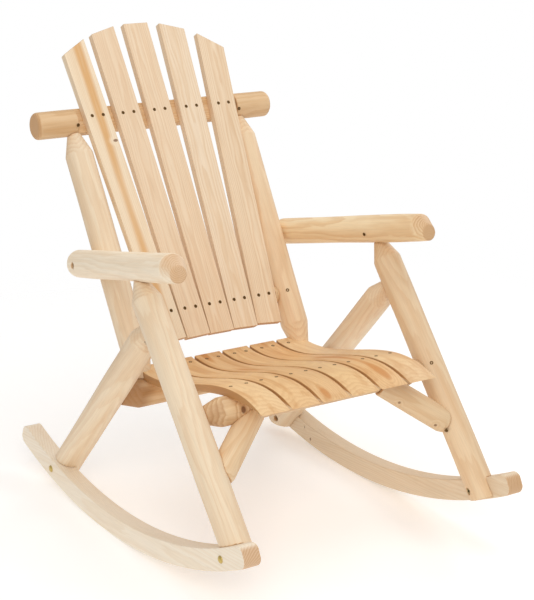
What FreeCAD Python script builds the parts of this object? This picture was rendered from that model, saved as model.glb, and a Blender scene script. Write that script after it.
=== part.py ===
import FreeCAD, Part
import math
import os
from FreeCAD import Placement, Rotation, Vector

# A log rocking chair in peeled softwood.
# Every piece is laid out with the arms level: X to the sitter's left and right, -Y forward, +Z up,
# and the lowest point of the rockers at the origin.  The last step leans the whole chair back
# on its rockers to the angle at which it comes to rest, rolling about the centre of the rocker arc.

doc = FreeCAD.newDocument("LogRocker")
sheet = doc.addObject("Spreadsheet::Sheet", "Dims")

DIMS = (
    # logs
    ("log_dia", 62), ("leg_left_dia", 65), ("leg_right_dia", 63), ("post_dia", 64),
    ("brace_dia", 55), ("rest_lean", 14.57),
    # rockers: two sawn arcs
    ("rocker_sole_radius", 1176), ("rocker_deep", 46.5), ("rocker_thick", 39),
    ("rocker_inner_x", 309.5), ("rocker_front_left_y", -296), ("rocker_front_right_y", -311),
    ("rocker_rear_y", 645),
    ("rocker_end_round", 18), ("lap_foot_gap", 3),
    # front legs, from the foot on the rocker to the tip under the arm
    ("leg_x", 311), ("front_foot_y", -235), ("front_foot_z", 9.8),
    ("front_head_y", 52.9), ("front_head_z", 584), ("front_tip_taper", 48), ("front_tip_rad", 13),
    # rear legs, from the foot on the rocker to the tip behind the front leg
    ("rear_leg_in", 4), ("rear_foot_y", 560), ("rear_foot_z", 111.5), ("rear_head_y", 20), ("rear_head_z", 491.7),
    ("rear_tip_taper", 64), ("rear_tip_rad", 11),
    # arms, level, closer together at the back
    ("arm_left_z", 609), ("arm_right_z", 612), ("arm_front_left_x", 321),
    ("arm_front_right_x", 313), ("arm_front_y", -126), ("arm_post_x", 279), ("arm_post_y", 355),
    ("arm_rear_y", 408), ("arm_end_taper", 25), ("arm_end_rad", 16),
    ("arm_bevel_long", 25), ("arm_bevel_rad", 18), ("arm_bevel_drop", 12),
    # seat rails between the legs
    ("front_rail_y", -85), ("front_rail_z", 304), ("rear_rail_y", 260), ("rear_rail_z", 316),
    ("seat_rail_half", 288), ("rail_tip_taper", 48), ("rail_tip_rad", 15),
    # back frame: a plane leaning back that holds the posts, the top rail and the lower rail
    ("back_lean", 18.1), ("back_face_y", 281.8), ("back_face_z", 481.9), ("back_axis_depth", 30.5),
    ("post_foot_x", 213), ("post_head_x", 220), ("post_foot_up", -140), ("post_head_up", 452),
    ("post_foot_taper", 63), ("post_foot_rad", 17), ("post_head_taper", 57), ("post_head_rad", 12.3),
    ("top_rail_up", 472.5), ("top_rail_half", 310.5), ("top_rail_end_round", 9),
    ("top_rail_dia", 62),
    ("lower_rail_up", 0), ("lower_rail_half", 202), ("lower_rail_taper", 42), ("lower_rail_rad", 11),
    # back slats: five boards fanned out and cut to an arch
    ("slat_thick", 18), ("bed_margin", 5), ("slat_foot_width", 62), ("slat_head_width", 64.5),
    ("slat_foot_up", -68.5), ("slat_head_up", 700), ("lower_pitch", 66), ("upper_pitch", 84.6),
    ("lower_gap_step", 0.6), ("upper_gap_step", 1.6), ("slat_width_step", 1.3),
    ("upper_screw_up", 474.6), ("slat_screw_half", 14.2),
    ("arch_centre_up", 340), ("arch_radius", 352.5),
    # seat slats: six boards sawn to a scooped side profile
    ("seat_width", 68), ("seat_pitch", 74.6), ("seat_rear_y", 279), ("seat_rear_z", 371.5),
    ("scoop_y", 160), ("scoop_z", 347.2), ("crest_y", -20), ("crest_z", 353.4),
    ("brow_y", -133), ("brow_z", 342.6), ("nose_y", -214), ("nose_z", 303),
    ("seat_front_screw_y", -84), ("seat_rear_screw_y", 259.5),
    ("seat_front_screw_half", 19), ("seat_rear_screw_half", 15.5),
    # knee braces between the front legs and the front seat rail
    ("brace_head_x", 168), ("brace_head_z", 290), ("brace_foot_x", 292), ("brace_foot_z", 186),
    ("brace_foot_taper", 12), ("brace_foot_rad", 24),
    # toe screws: where each starts on its log, and how far into the next log it points
    ("leg_screw_in", 16), ("leg_screw_front", 29.5), ("leg_screw_up", 12), ("leg_screw_reach", 10),
    ("rear_screw_down", 40), ("rear_screw_out", 14), ("rear_screw_front", 11),
    ("rear_screw_drop", 15), ("rear_screw_reach", 505),
    ("arm_screw_in", 43.5), ("arm_screw_back", 178), ("arm_screw_drop", 9), ("arm_screw_reach", 10),
    ("brace_screw_in", 17), ("brace_screw_front", 17.5), ("brace_screw_drop", 12),
    ("rail_screw_out", 8), ("rail_screw_back", 22.5), ("rail_screw_drop", 27),
    ("top_screw_in", 4), ("top_screw_drop", 15.5), ("top_screw_front", 26.8),
    ("post_screw_reach", 12), ("post_screw_x", 202), ("post_screw_front", 29.5),
    ("lower_screw_reach", 18),
    # fasteners
    ("screw_head_dia", 8), ("screw_head_deep", 3), ("screw_dia", 4), ("screw_long", 40),
    ("bolt_dia", 6), ("bolt_head_dia", 16), ("bolt_head_high", 4), ("nut_across", 11),
    ("nut_high", 5), ("bolt_past_nut", 1), ("recess_dia", 15), ("recess_deep", 10),
    ("recess_cutter_long", 40),
    ("front_bolt_y", -208), ("front_bolt_z", 43), ("rear_bolt_y", 511), ("rear_bolt_z", 142),
    ("arm_bolt_long", 62), ("dowel_dia", 10), ("dowel_long", 46), ("dowel_out", 4.5),
)
for row, (alias, value) in enumerate(DIMS, 1):
    sheet.set("A%d" % row, alias)
    sheet.set("B%d" % row, str(value))
    sheet.setAlias("B%d" % row, alias)
doc.recompute()

SIDES = (("left", -1), ("right", 1))
UP = Vector(0, 0, 1)
BIG = 2000.0


def dim(alias):
    return float(sheet.get(alias))


def place(base, direction=UP):
    return Placement(base, Rotation(UP, direction))


# ---------------------------------------------------------------- finished pieces

# The chair rolls back on its rockers about the centre of their arc.
rocker_centre = Vector(0, 0, dim("rocker_sole_radius"))
LEAN = Placement(Vector(), Rotation(Vector(1, 0, 0), -dim("rest_lean")), rocker_centre)
pieces = []


def finish(piece, node):
    piece.Label = node
    piece.Placement = LEAN
    pieces.append(piece)
    return piece


def cut_piece(node, blank, cutters):
    """The finished piece: a blank with everything that is cut into it taken away."""
    for number, cutter in enumerate(cutters, 1):
        step = doc.addObject("Part::Cut", "%s_cut%d" % (node, number))
        step.Base = blank
        step.Tool = cutter
        blank = step
    return finish(blank, node)


def group_piece(node, members):
    group = doc.addObject("Part::Compound", node)
    group.Links = members
    return finish(group, node)


# ---------------------------------------------------------------- logs

def cylinder(name, base, direction, radius_expr, height):
    rod = doc.addObject("Part::Cylinder", name)
    rod.Height = height
    rod.setExpression("Radius", radius_expr)
    rod.Placement = place(base, direction)
    return rod


def cone(name, base, direction, foot_expr, head_expr, height_expr):
    taper = doc.addObject("Part::Cone", name)
    taper.setExpression("Radius1", foot_expr)
    taper.setExpression("Radius2", head_expr)
    taper.setExpression("Height", height_expr)
    taper.Placement = place(base, direction)
    return taper


def log(name, foot, head, dia="log_dia", foot_taper=None, head_taper=None):
    """A turned log from foot to head; a taper is (length alias, tip radius alias)."""
    along = (head - foot).normalize()
    body_foot, body_head = foot, head
    parts = []
    full = "Dims.%s / 2" % dia
    if foot_taper:
        body_foot = foot + along * dim(foot_taper[0])
        parts.append(cone(name + "_foot", foot, along, "Dims." + foot_taper[1], full,
                          "Dims." + foot_taper[0]))
    if head_taper:
        body_head = head - along * dim(head_taper[0])
        parts.append(cone(name + "_head", body_head, along, full, "Dims." + head_taper[1],
                          "Dims." + head_taper[0]))
    shaft = cylinder(name + "_shaft", body_foot, along, full, (body_head - body_foot).Length)
    if not parts:
        return shaft
    whole = doc.addObject("Part::MultiFuse", name)
    whole.Shapes = [shaft] + parts
    return whole


# ---------------------------------------------------------------- boards

def board(name, plane_role, edges, thick_alias, backwards=False):
    """A board sawn to an outline: a sketch on one of the body's planes and a pad."""
    body = doc.addObject("PartDesign::Body", name)
    plane = [f for f in body.Origin.OriginFeatures if f.Role == plane_role][0]
    outline = body.newObject("Sketcher::SketchObject", name + "_outline")
    outline.AttachmentSupport = [(plane, "")]
    outline.MapMode = "FlatFace"
    for edge in edges:
        outline.addGeometry(edge, False)
    pad = body.newObject("PartDesign::Pad", name + "_pad")
    pad.Profile = outline
    pad.Reversed = backwards
    pad.setExpression("Length", "Dims." + thick_alias)
    doc.recompute()
    return body


# ---------------------------------------------------------------- screws and bolts

def screws(name, seats, length_alias="screw_long"):
    """Countersunk wood screws.  Each seat is (centre of the head's top, direction driven)."""
    members = []
    for number, (top, direction) in enumerate(seats, 1):
        along = Vector(direction).normalize()
        tag = "%s_%d" % (name, number)
        members.append(cone(tag + "_head", top, along, "Dims.screw_head_dia / 2",
                            "Dims.screw_dia / 2", "Dims.screw_head_deep"))
        shank = cylinder(tag + "_shank", top + along * dim("screw_head_deep"), along,
                         "Dims.screw_dia / 2", dim(length_alias))
        shank.setExpression("Height", "Dims.%s - Dims.screw_head_deep" % length_alias)
        members.append(shank)
    group = doc.addObject("Part::MultiFuse", name)
    group.Shapes = members
    return group


def mirrored(point, side):
    return Vector(point.x * side, point.y, point.z)


# ---------------------------------------------------------------- the back's leaning plane

lean_angle = math.radians(dim("back_lean"))
BACK_UP = Vector(0, math.sin(lean_angle), math.cos(lean_angle))
BACK_IN = Vector(0, math.cos(lean_angle), -math.sin(lean_angle))
BACK_ORIGIN = Vector(0, dim("back_face_y"), dim("back_face_z"))
BACK_PLACE = Placement(BACK_ORIGIN, Rotation(Vector(1, 0, 0), -dim("back_lean")))


def back_point(across, up, depth):
    """A point of the back: across the chair, up the slats, and behind their front faces."""
    return BACK_ORIGIN + Vector(across, 0, 0) + BACK_UP * up + BACK_IN * depth


# ---------------------------------------------------------------- log blanks

log_radius = dim("log_dia") / 2
axis_depth = dim("back_axis_depth")
leg_x = dim("leg_x")
front_foot = Vector(leg_x, dim("front_foot_y"), dim("front_foot_z"))
front_head = Vector(leg_x, dim("front_head_y"), dim("front_head_z"))
rear_foot = Vector(leg_x - dim("rear_leg_in"), dim("rear_foot_y"), dim("rear_foot_z"))
rear_head = Vector(leg_x - dim("rear_leg_in"), dim("rear_head_y"), dim("rear_head_z"))

# The arms are hand fitted, so the left and right differ by a few millimetres.
arm_front, arm_post, arm_along, arm_rear = {}, {}, {}, {}
for side_name, side in SIDES:
    height = dim("arm_%s_z" % side_name)
    start = Vector(side * dim("arm_front_%s_x" % side_name), dim("arm_front_y"), height)
    at_post = Vector(side * dim("arm_post_x"), dim("arm_post_y"), height)
    along = (at_post - start).normalize()
    arm_front[side], arm_post[side], arm_along[side] = start, at_post, along
    arm_rear[side] = start + along * ((dim("arm_rear_y") - start.y) / along.y)

leg_slope = (front_head.y - front_foot.y) / (front_head.z - front_foot.z)


def leg_plane_y(height):
    """The front legs, the front seat rail and the braces share one sloping plane."""
    return front_foot.y + leg_slope * (height - front_foot.z)


brace_foot = Vector(dim("brace_foot_x"), leg_plane_y(dim("brace_foot_z")), dim("brace_foot_z"))
brace_head = Vector(dim("brace_head_x"), leg_plane_y(dim("brace_head_z")), dim("brace_head_z"))
post_foot = back_point(dim("post_foot_x"), dim("post_foot_up"), axis_depth)
post_head = back_point(dim("post_head_x"), dim("post_head_up"), axis_depth)

front_leg, rear_leg, arm, brace, post = {}, {}, {}, {}, {}
for side_name, side in SIDES:
    leg_dia = "leg_%s_dia" % side_name
    front_leg[side] = log("front_leg_log_" + side_name, mirrored(front_foot, side),
                          mirrored(front_head, side), dia=leg_dia,
                          head_taper=("front_tip_taper", "front_tip_rad"))
    rear_leg[side] = log("rear_leg_log_" + side_name, mirrored(rear_foot, side),
                         mirrored(rear_head, side), dia=leg_dia,
                         head_taper=("rear_tip_taper", "rear_tip_rad"))
    arm[side] = log("arm_log_" + side_name, arm_front[side], arm_rear[side],
                    head_taper=("arm_end_taper", "arm_end_rad"))
    brace[side] = log("brace_log_" + side_name, mirrored(brace_foot, side),
                      mirrored(brace_head, side), dia="brace_dia",
                      foot_taper=("brace_foot_taper", "brace_foot_rad"))
    post[side] = log("post_log_" + side_name, mirrored(post_foot, side), mirrored(post_head, side),
                     dia="post_dia",
                     foot_taper=("post_foot_taper", "post_foot_rad"),
                     head_taper=("post_head_taper", "post_head_rad"))

seat_half = Vector(dim("seat_rail_half"), 0, 0)
front_rail_mid = Vector(0, dim("front_rail_y"), dim("front_rail_z"))
rear_rail_mid = Vector(0, dim("rear_rail_y"), dim("rear_rail_z"))
rail_tip = ("rail_tip_taper", "rail_tip_rad")
front_rail = log("front_rail_log", front_rail_mid - seat_half, front_rail_mid + seat_half,
                 foot_taper=rail_tip, head_taper=rail_tip)
rear_rail = log("rear_rail_log", rear_rail_mid - seat_half, rear_rail_mid + seat_half,
                foot_taper=rail_tip, head_taper=rail_tip)

lower_half = dim("lower_rail_half")
lower_tip = ("lower_rail_taper", "lower_rail_rad")
lower_rail = log("lower_rail_log", back_point(-lower_half, dim("lower_rail_up"), axis_depth),
                 back_point(lower_half, dim("lower_rail_up"), axis_depth),
                 foot_taper=lower_tip, head_taper=lower_tip)

top_half = dim("top_rail_half")
top_shaft = cylinder("top_rail_shaft", back_point(-top_half, dim("top_rail_up"), axis_depth),
                     Vector(1, 0, 0), "Dims.top_rail_dia / 2", 2 * top_half)
top_shaft.setExpression("Height", "2 * Dims.top_rail_half")
doc.recompute()
top_rail = doc.addObject("Part::Fillet", "top_rail_log")
top_rail.Base = top_shaft
end_round = dim("top_rail_end_round")
ends = [number for number, edge in enumerate(top_shaft.Shape.Edges, 1)
        if edge.Curve.TypeId == "Part::GeomCircle"]
top_rail.Edges = [(number, end_round, end_round) for number in ends]

# The front end of each arm is bevelled on the top and round the sides, not underneath.
arm_bevel = {}
for side_name, side in SIDES:
    direction, start = arm_along[side], arm_front[side]
    wide = Part.Circle(start + direction * dim("arm_bevel_long"), direction, dim("log_dia") / 2)
    drop = Vector(0, 0, -dim("arm_bevel_drop"))
    small = Part.Circle(start + drop, direction, dim("arm_bevel_rad"))
    nose = Part.makeLoft([Part.Wire(wide.toShape()), Part.Wire(small.toShape())], True)
    collar = Part.makeCylinder(dim("log_dia"), dim("arm_bevel_long"), start, direction)
    chips = doc.addObject("Part::Feature", "arm_bevel_" + side_name)
    chips.Shape = collar.cut(nose)
    arm_bevel[side] = chips

# ---------------------------------------------------------------- rockers

sole = dim("rocker_sole_radius")
crown = sole - dim("rocker_deep")
rear_y = dim("rocker_rear_y")


def on_arc(radius, along_y):
    return Vector(along_y, sole - math.sqrt(radius ** 2 - along_y ** 2), 0)


def arc_edge(radius, start_y, end_y):
    return Part.Arc(on_arc(radius, start_y), on_arc(radius, (start_y + end_y) / 2),
                    on_arc(radius, end_y))


rocker = {}
for side_name, side in SIDES:
    front_y = dim("rocker_front_%s_y" % side_name)
    rocker_outline = (
        arc_edge(sole, front_y, rear_y),
        Part.LineSegment(on_arc(sole, rear_y), on_arc(crown, rear_y)),
        arc_edge(crown, rear_y, front_y),
        Part.LineSegment(on_arc(crown, front_y), on_arc(sole, front_y)),
    )
    body = board("rocker_board_" + side_name, "YZ_Plane", rocker_outline, "rocker_thick",
                 backwards=side < 0)
    pad = body.Tip
    end_edges = []
    for number, edge in enumerate(pad.Shape.Edges, 1):
        middle = edge.CenterOfMass
        at_end = min(abs(middle.y - front_y), abs(middle.y - rear_y)) < 1e-3
        radius = math.hypot(middle.y, middle.z - sole)
        at_corner = min(abs(radius - crown), abs(radius - sole)) < 1e-3
        if at_end and at_corner:
            end_edges.append("Edge%d" % number)
    rounding = body.newObject("PartDesign::Fillet", "rocker_ends_" + side_name)
    rounding.Base = (pad, end_edges)
    rounding.setExpression("Radius", "Dims.rocker_end_round")
    body.Placement = Placement(Vector(side * dim("rocker_inner_x"), 0, 0), Rotation())
    rocker[side] = body

# The feet of the legs are half lapped: the outer half stops on top of the rocker, and the inner
# half runs down the rocker's inner face and stops just short of its sole.
foot_disc = doc.addObject("Part::Cylinder", "foot_disc")
foot_disc.setExpression("Radius", "Dims.rocker_sole_radius - Dims.lap_foot_gap")
foot_disc.Height = BIG
foot_disc.Placement = place(rocker_centre - Vector(BIG / 2, 0, 0), Vector(1, 0, 0))
ground_block = doc.addObject("Part::Cylinder", "ground_block")
ground_block.Radius = BIG
ground_block.Height = BIG
ground_block.Placement = foot_disc.Placement
ground = doc.addObject("Part::Cut", "ground")
ground.Base = ground_block
ground.Tool = foot_disc
lap_waste = {}
for side_name, side in SIDES:
    inner_face = Vector(side * dim("rocker_inner_x"), 0, 0)
    disc = doc.addObject("Part::Cylinder", "crown_disc_" + side_name)
    disc.setExpression("Radius", "Dims.rocker_sole_radius - Dims.rocker_deep")
    disc.Height = BIG
    disc.Placement = place(rocker_centre + inner_face, Vector(side, 0, 0))
    block = doc.addObject("Part::Cylinder", "lap_block_" + side_name)
    block.Radius = BIG
    block.Height = BIG / 2
    block.Placement = disc.Placement
    waste = doc.addObject("Part::Cut", "lap_waste_" + side_name)
    waste.Base = block
    waste.Tool = disc
    lap_waste[side] = waste

# ---------------------------------------------------------------- back slats

SLATS = (-2, -1, 0, 1, 2)


def slat_centre(number, up):
    """Across position of a slat's centre line at a height up the back.

    The slats are set out by eye, so the gaps widen a little from left to right.
    """
    share = up / dim("upper_screw_up")
    pitch = dim("lower_pitch") + (dim("upper_pitch") - dim("lower_pitch")) * share
    step = dim("lower_gap_step") + (dim("upper_gap_step") - dim("lower_gap_step")) * share
    return number * pitch + number ** 2 * step


def arch_cut(foot, head):
    """Where the straight side from foot to head meets the arch over the back."""
    along = (head - foot).normalize()
    centre = Vector(0, dim("arch_centre_up"), 0)
    half_way = (centre - foot).dot(along)
    off = (foot + along * half_way - centre).Length
    return foot + along * (half_way + math.sqrt(dim("arch_radius") ** 2 - off ** 2))


back_slat = {}
for number in SLATS:
    foot = Vector(slat_centre(number, dim("slat_foot_up")), dim("slat_foot_up"), 0)
    head = Vector(slat_centre(number, dim("slat_head_up")), dim("slat_head_up"), 0)
    along = (head - foot).normalize()
    across = Vector(along.y, -along.x, 0)
    corners = []
    for edge_side in (-1, 1):
        extra = number * dim("slat_width_step")
        low = foot + across * (edge_side * (dim("slat_foot_width") + extra) / 2)
        high = head + across * (edge_side * (dim("slat_head_width") + extra) / 2)
        corners.append((low, arch_cut(low, high)))
    ring = [corners[0][0], corners[1][0], corners[1][1], corners[0][1]]
    edges = [Part.LineSegment(ring[i], ring[(i + 1) % 4]) for i in range(4)]
    body = board("back_slat_board_%d" % (number + 3), "XZ_Plane", edges, "slat_thick",
                 backwards=True)
    body.Placement = BACK_PLACE
    back_slat[number] = body

# The rails are planed flat where the slats lie on them.
slat_bed = {}
for bed, up in (("top", dim("top_rail_up")), ("lower", dim("lower_rail_up"))):
    width = dim("slat_head_width") if bed == "top" else dim("slat_foot_width")
    half = slat_centre(2, up) + width / 2 + dim("bed_margin")
    block = doc.addObject("Part::Box", bed + "_rail_bed")
    block.Length = 2 * half
    block.setExpression("Width", "Dims.slat_thick * 3")
    block.setExpression("Height", "Dims.log_dia * 2")
    block.Placement = Placement(back_point(-half, up - dim("log_dia"), -2 * dim("slat_thick")),
                                BACK_PLACE.Rotation)
    slat_bed[bed] = block

# ---------------------------------------------------------------- seat slats

top_points = [Vector(dim(point + "_y"), dim(point + "_z"), 0)
              for point in ("seat_rear", "scoop", "crest", "brow", "nose")]
top_curve = Part.BSplineCurve()
top_curve.interpolate(top_points)
thick = dim("slat_thick")


def below(parameter):
    """The underside follows the top face at the board's thickness."""
    point = top_curve.value(parameter)
    tangent = Vector(top_curve.tangent(parameter)[0]).normalize()
    return point + Vector(-tangent.y, tangent.x, 0) * thick


first, last = top_curve.FirstParameter, top_curve.LastParameter
spans = 5  # the nose is the end of the last span, where both faces meet
stations = [first + (last - first) * k / spans for k in range(spans)]
under_points = [below(parameter) for parameter in stations] + [top_points[-1]]
under_curve = Part.BSplineCurve()
under_curve.interpolate(under_points)
seat_outline = (
    top_curve,
    under_curve,
    Part.LineSegment(top_points[0], under_points[0]),
)
SEAT_SLATS = range(6)


def seat_slat_middle(number):
    return (number - (len(SEAT_SLATS) - 1) / 2) * dim("seat_pitch")


seat_slat = {}
for number in SEAT_SLATS:
    body = board("seat_slat_board_%d" % (number + 1), "YZ_Plane", seat_outline, "seat_width")
    left_edge = seat_slat_middle(number) - dim("seat_width") / 2
    body.Placement = Placement(Vector(left_edge, 0, 0), Rotation())
    seat_slat[number] = body

# ---------------------------------------------------------------- fasteners


def seat_surface(along_y):
    """Point and downward normal of the seat's top face at a distance along it."""
    parameter = top_curve.parameter(Vector(along_y, dim("crest_z"), 0))
    point = top_curve.value(parameter)
    tangent = Vector(top_curve.tangent(parameter)[0]).normalize()
    return Vector(0, point.x, point.y), Vector(0, -tangent.y, tangent.x)


seat_seats = []
for number in SEAT_SLATS:
    middle = seat_slat_middle(number)
    front_point, front_down = seat_surface(dim("seat_front_screw_y"))
    rear_point, rear_down = seat_surface(dim("seat_rear_screw_y"))
    half_front, half_rear = dim("seat_front_screw_half"), dim("seat_rear_screw_half")
    for offset in (-1, 1):
        seat_seats.append((front_point + Vector(middle + offset * half_front, 0, 0), front_down))
        across = middle + offset * half_rear
        if abs(across) < dim("post_foot_x") - dim("post_dia") / 2:
            seat_seats.append((rear_point + Vector(across, 0, 0), rear_down))
seat_screw_form = screws("seat_slat_screw_form", seat_seats)

back_seats = []
for number in SLATS:
    for up in (0, dim("upper_screw_up")):
        for offset in (-1, 1):
            across = slat_centre(number, up) + offset * dim("slat_screw_half")
            back_seats.append((back_point(across, up, 0), BACK_IN))
back_screw_form = screws("back_slat_screw_form", back_seats)

# Toe screws that hold log to log: each starts on the side of one log and points at a place inside
# the next one.
leg_along = (front_head - front_foot).normalize()
rear_leg_along = (rear_head - rear_foot).normalize()
in_front_head = front_head - leg_along * dim("arm_screw_reach")
in_rail_tip = front_rail_mid + seat_half - Vector(dim("leg_screw_reach"), 0, 0)
in_leg_foot = Vector(leg_x, brace_foot.y, brace_foot.z)
in_rail = Vector(brace_head.x, dim("front_rail_y"), dim("front_rail_z"))
in_leg = front_foot + leg_along * dim("rear_screw_reach")


def tip_of_post(across):
    """Inside the head of a post, just under the top rail."""
    return back_point(across, dim("post_head_up") - dim("post_screw_reach"), axis_depth)


toe_seats = {"leg_to_rail": [], "arm_to_leg": [], "brace": [], "top_rail": [], "post": []}
for side_name, side in SIDES:
    rail_height = dim("front_rail_z") + dim("leg_screw_up")
    start = Vector(leg_x - dim("leg_screw_in"), leg_plane_y(rail_height) - dim("leg_screw_front"),
                   rail_height)
    toe_seats["leg_to_rail"].append((mirrored(start, side), mirrored(in_rail_tip - start, side)))
    start = rear_head - rear_leg_along * dim("rear_screw_down")
    start += Vector(dim("rear_screw_out"), -dim("rear_screw_front"), -dim("rear_screw_drop"))
    toe_seats["leg_to_rail"].append((mirrored(start, side), mirrored(in_leg - start, side)))
    start = arm_front[side] + Vector(-dim("arm_screw_in") * side, dim("arm_screw_back"),
                                     -dim("arm_screw_drop"))
    toe_seats["arm_to_leg"].append((start, mirrored(in_front_head, side) - start))
    start = mirrored(brace_foot, side) + Vector(-dim("brace_screw_in") * side,
                                                -dim("brace_screw_front") * side,
                                                -dim("brace_screw_drop"))
    toe_seats["brace"].append((start, mirrored(in_leg_foot, side) - start))
    start = brace_head + Vector(dim("rail_screw_out"), dim("rail_screw_back"), -dim("rail_screw_drop"))
    toe_seats["brace"].append((mirrored(start, side), mirrored(in_rail - start, side)))
    across = side * (dim("post_head_x") - dim("top_screw_in"))
    start = back_point(across, dim("top_rail_up") - dim("top_screw_drop"),
                       axis_depth - dim("top_screw_front"))
    toe_seats["top_rail"].append((start, tip_of_post(across) - start))
    start = back_point(side * dim("post_screw_x"), dim("lower_rail_up"),
                       axis_depth - dim("post_screw_front"))
    in_lower_rail = back_point(side * (dim("lower_rail_half") - dim("lower_screw_reach")),
                               dim("lower_rail_up"), axis_depth)
    toe_seats["post"].append((start, in_lower_rail - start))
screw_form = {name: screws(name + "_screw_form", seats)
              for name, seats in toe_seats.items()}

# Rocker bolts: a round head outside the rocker and a nut sunk in the inner face of the leg.
bolt_members, nut_members, recess_members = [], [], []
outer_face = dim("rocker_inner_x") + dim("rocker_thick")
for side_name, side in SIDES:
    recess_floor = leg_x - dim("leg_%s_dia" % side_name) / 2 + dim("recess_deep")
    for place_name in ("front", "rear"):
        tag = "%s_%s" % (place_name, side_name)
        centre = Vector(0, dim(place_name + "_bolt_y"), dim(place_name + "_bolt_z"))
        inward = Vector(-side, 0, 0)
        face = centre + Vector(side * outer_face, 0, 0)
        reach = outer_face - recess_floor + dim("nut_high") + dim("bolt_past_nut")
        bolt_members.append(cylinder("bolt_shank_" + tag, face, inward, "Dims.bolt_dia / 2", reach))
        bolt_members.append(cone("bolt_head_" + tag, face, -inward, "Dims.bolt_head_dia / 2",
                                 "Dims.bolt_head_dia / 4", "Dims.bolt_head_high"))
        floor_point = centre + Vector(side * recess_floor, 0, 0)
        nut = doc.addObject("Part::Prism", "nut_" + tag)
        nut.Polygon = 6
        nut.setExpression("Circumradius", "Dims.nut_across / sqrt(3)")
        nut.setExpression("Height", "Dims.nut_high")
        nut.Placement = place(floor_point, inward)
        nut_members.append(nut)
        recess_members.append(cylinder("recess_" + tag, floor_point, inward,
                                       "Dims.recess_dia / 2", dim("recess_cutter_long")))
bolt_form = doc.addObject("Part::MultiFuse", "rocker_bolt_form")
bolt_form.Shapes = bolt_members
nut_blank = doc.addObject("Part::MultiFuse", "rocker_nut_blank")
nut_blank.Shapes = nut_members
recesses = doc.addObject("Part::MultiFuse", "nut_recesses")
recesses.Shapes = recess_members

# Arm bolts: sunk in the outer face of each arm and driven through it into the back post.
arm_bolt_members, arm_recess_members = [], []
for side_name, side in SIDES:
    inward = Vector(-side, 0, 0)
    floor_point = arm_post[side] + Vector(side * (log_radius - dim("recess_deep")), 0, 0)
    arm_recess_members.append(cylinder("arm_recess_" + side_name, floor_point, -inward,
                                       "Dims.recess_dia / 2", dim("recess_cutter_long")))
    shank = cylinder("arm_bolt_shank_" + side_name, floor_point, inward, "Dims.bolt_dia / 2",
                     dim("arm_bolt_long"))
    shank.setExpression("Height", "Dims.arm_bolt_long")
    head = doc.addObject("Part::Prism", "arm_bolt_head_" + side_name)
    head.Polygon = 6
    head.setExpression("Circumradius", "Dims.nut_across / sqrt(3)")
    head.setExpression("Height", "Dims.nut_high")
    head.Placement = place(floor_point, -inward)
    arm_bolt_members += [shank, head]
arm_bolt_form = doc.addObject("Part::MultiFuse", "arm_bolt_form")
arm_bolt_form.Shapes = arm_bolt_members
arm_recesses = doc.addObject("Part::MultiFuse", "arm_recesses")
arm_recesses.Shapes = arm_recess_members

# Dowels hidden in the joints between the posts and the top rail.
dowel_members = []
for side_name, side in SIDES:
    middle = back_point(side * (dim("post_head_x") + dim("dowel_out")),
                        dim("top_rail_up") - log_radius, axis_depth)
    dowel = cylinder("post_dowel_" + side_name, middle - BACK_UP * (dim("dowel_long") / 2), BACK_UP,
                     "Dims.dowel_dia / 2", dim("dowel_long"))
    dowel.setExpression("Height", "Dims.dowel_long")
    dowel_members.append(dowel)
dowel_form = doc.addObject("Part::MultiFuse", "post_dowel_form")
dowel_form.Shapes = dowel_members

# ---------------------------------------------------------------- the finished pieces

for side_name, side in SIDES:
    cut_piece("rocker_" + side_name, rocker[side], [bolt_form])
    cut_piece("front_leg_" + side_name, front_leg[side],
              [lap_waste[side], ground, arm[side], bolt_form, recesses,
               screw_form["leg_to_rail"], screw_form["arm_to_leg"], screw_form["brace"]])
    cut_piece("rear_leg_" + side_name, rear_leg[side],
              [lap_waste[side], ground, front_leg[side], bolt_form, recesses,
               screw_form["leg_to_rail"]])
    cut_piece("arm_" + side_name, arm[side],
              [arm_bevel[side], arm_bolt_form, arm_recesses, screw_form["arm_to_leg"]])
    cut_piece("back_post_" + side_name, post[side],
              [top_rail, rear_rail, arm[side], back_slat[2 * side], arm_bolt_form, dowel_form,
               screw_form["top_rail"], screw_form["post"]])
    cut_piece("knee_brace_" + side_name, brace[side],
              [front_leg[side], front_rail, screw_form["brace"]])

cut_piece("front_seat_rail", front_rail,
          [front_leg[-1], front_leg[1], *seat_slat.values(), seat_screw_form,
           screw_form["leg_to_rail"], screw_form["brace"]])
cut_piece("rear_seat_rail", rear_rail,
          [rear_leg[-1], rear_leg[1], *seat_slat.values(), seat_screw_form])
cut_piece("lower_back_rail", lower_rail,
          [post[-1], post[1], slat_bed["lower"], back_screw_form, screw_form["post"]])
cut_piece("top_rail", top_rail,
          [slat_bed["top"], back_screw_form, dowel_form, screw_form["top_rail"]])
for number in SLATS:
    cut_piece("back_slat_%d" % (number + 3), back_slat[number], [back_screw_form])
for number in SEAT_SLATS:
    cutters = [seat_screw_form]
    if number in (SEAT_SLATS[0], SEAT_SLATS[-1]):
        cutters.append(post[-1 if number == SEAT_SLATS[0] else 1])
    cut_piece("seat_slat_%d" % (number + 1), seat_slat[number], cutters)

group_piece("seat_slat_screws", [seat_screw_form])
group_piece("back_slat_screws", [back_screw_form])
group_piece("leg_screws", [screw_form["leg_to_rail"]])
group_piece("arm_screws", [screw_form["arm_to_leg"]])
group_piece("brace_screws", [screw_form["brace"]])
group_piece("top_rail_screws", [screw_form["top_rail"]])
group_piece("post_screws", [screw_form["post"]])
group_piece("rocker_bolts", [bolt_form])
cut_piece("rocker_nuts", nut_blank, [bolt_form])
group_piece("arm_bolts", [arm_bolt_form])
group_piece("post_dowels", [dowel_form])

doc.recompute()

# ---------------------------------------------------------------- checks and export

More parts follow.
